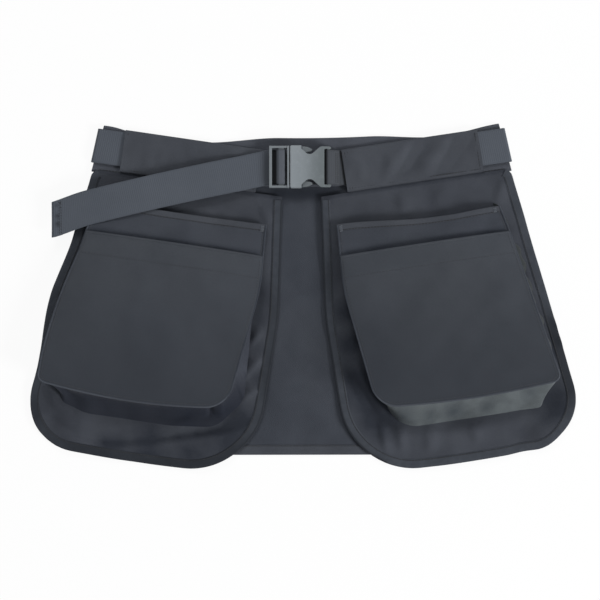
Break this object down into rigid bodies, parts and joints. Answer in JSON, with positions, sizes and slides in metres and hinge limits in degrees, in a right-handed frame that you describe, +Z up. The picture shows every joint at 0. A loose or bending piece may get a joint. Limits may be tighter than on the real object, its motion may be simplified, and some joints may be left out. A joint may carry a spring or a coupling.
{
  "type": "tool belt",
  "caption": "Wrap-round fabric tool belt with a rear panel, swinging front flaps with bellows and outer pockets, waist webbing with a loose end and a side-release buckle.",
  "frame": {"origin": "centre of the bounding box in X and Y, on the ground that the belt lies on", "axes": "+X along the waist to the wearer's left as pictured, +Y from the flaps' feet up to the waist, +Z up out of the ground, away from the rear panel"},
  "size_m": [0.6384, 0.4002, 0.0342],
  "materials": {
    "cloth": "dark slate-grey polyester twill",
    "binding": "darker folded edge binding",
    "webbing": "grey woven polyester webbing",
    "buckle_plastic": "satin mid-grey moulded plastic"
  },
  "bodies": {
    "waist": {"rear_sleeve": "cloth", "rear_strap": "webbing", "back_panel": "cloth", "right_sleeve": "cloth", "right_strap": "webbing", "anchor_loop": "webbing", "buckle_socket": "buckle_plastic"},
    "left_front": {"left_sleeve": "cloth", "left_strap": "webbing", "ladder_strap": "webbing", "strap_tail": "webbing", "buckle_plug": "buckle_plastic"},
    "upper_prong": {"upper_prong": "buckle_plastic"},
    "lower_prong": {"lower_prong": "buckle_plastic"},
    "right_flap": {"right_flap_panel": "cloth", "right_binding": "binding", "right_gusset": "cloth", "right_pocket_front": "cloth", "right_outer_pocket": "cloth"},
    "left_flap": {"left_flap_panel": "cloth", "left_binding": "binding", "left_gusset": "cloth", "left_pocket_front": "cloth", "left_outer_pocket": "cloth"}
  },
  "joints": [
    {"name": "right_flap_lift", "type": "hinge", "parent": "waist", "child": "right_flap", "pos_m": [0.05378, 0.1186, 0.0045], "axis": [-0.9893, -0.1461, 0], "range_deg": [0, 95]},
    {"name": "buckle_release", "type": "slide", "parent": "waist", "child": "left_front", "axis": [-1, 0, 0], "range_m": [0, 0.042], "deforming": ["upper_prong", "lower_prong"]},
    {"name": "left_flap_lift", "type": "hinge", "parent": "left_front", "child": "left_flap", "pos_m": [-0.05378, 0.1186, 0.0045], "axis": [-0.9893, 0.1461, 0], "range_deg": [0, 95], "deforming": ["strap_tail"]},
    {"name": "upper_prong_press", "type": "hinge", "parent": "left_front", "child": "upper_prong", "pos_m": [-0.0136, 0.16437, 0.01345], "axis": [0, 0, -1], "range_deg": [0, 8], "stiffness_Nm_per_rad": 0.5},
    {"name": "lower_prong_press", "type": "hinge", "parent": "left_front", "child": "lower_prong", "pos_m": [-0.0136, 0.13137, 0.01345], "axis": [0, 0, 1], "range_deg": [0, 8], "stiffness_Nm_per_rad": 0.5}
  ]
}
